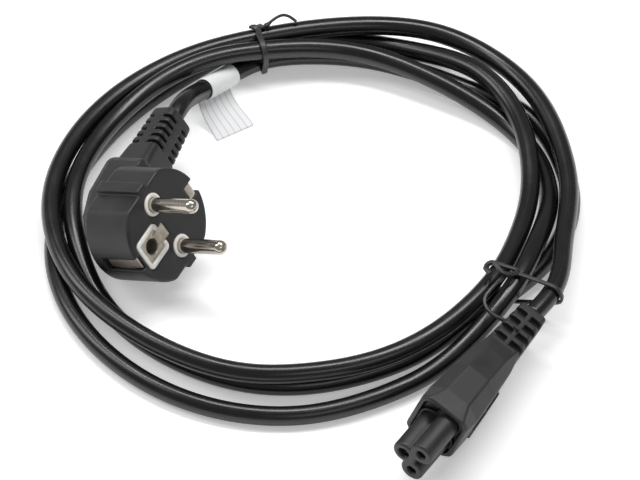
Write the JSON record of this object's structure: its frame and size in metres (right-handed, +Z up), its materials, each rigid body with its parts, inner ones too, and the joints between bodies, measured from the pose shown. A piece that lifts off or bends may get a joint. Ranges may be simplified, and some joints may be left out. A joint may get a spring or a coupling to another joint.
{
  "type": "cloverleaf power cord",
  "caption": "Mains cord with an angled earthed plug and a three-lobed appliance connector, lying in loose turns held by wire ties.",
  "frame": {"origin": "on the surface the cord lies on, under the middle of the whole part's outline", "axes": "+Z up, +X to the right and +Y away as the picture shows it; the plug lies at -X, the connector points to -Y"},
  "size_m": [0.1737, 0.1986, 0.0439],
  "materials": {
    "black_pvc": "satin black flexible PVC sheath",
    "charcoal_pvc": "matte moulded PVC",
    "white_nylon": "off-white moulded nylon",
    "nickel_plate": "polished nickel-plated brass",
    "earth_metal": "plain plated strip",
    "white_paper": "smooth white paper",
    "tie_plastic": "dark plastic over a soft wire"
  },
  "bodies": {
    "root": {"plug_body": "charcoal_pvc", "plug_insert": "white_nylon", "pin_live": "nickel_plate", "pin_neutral": "nickel_plate", "earth_socket": "earth_metal", "earth_clip_inner": "earth_metal", "earth_clip_outer": "earth_metal", "cord": "black_pvc", "label": "white_paper", "tie_top": "tie_plastic", "tie_side": "tie_plastic", "connector_body": "charcoal_pvc", "connector_nose": "charcoal_pvc", "contact_live": "nickel_plate", "contact_neutral": "nickel_plate", "contact_earth": "nickel_plate"}
  },
  "joints": []
}
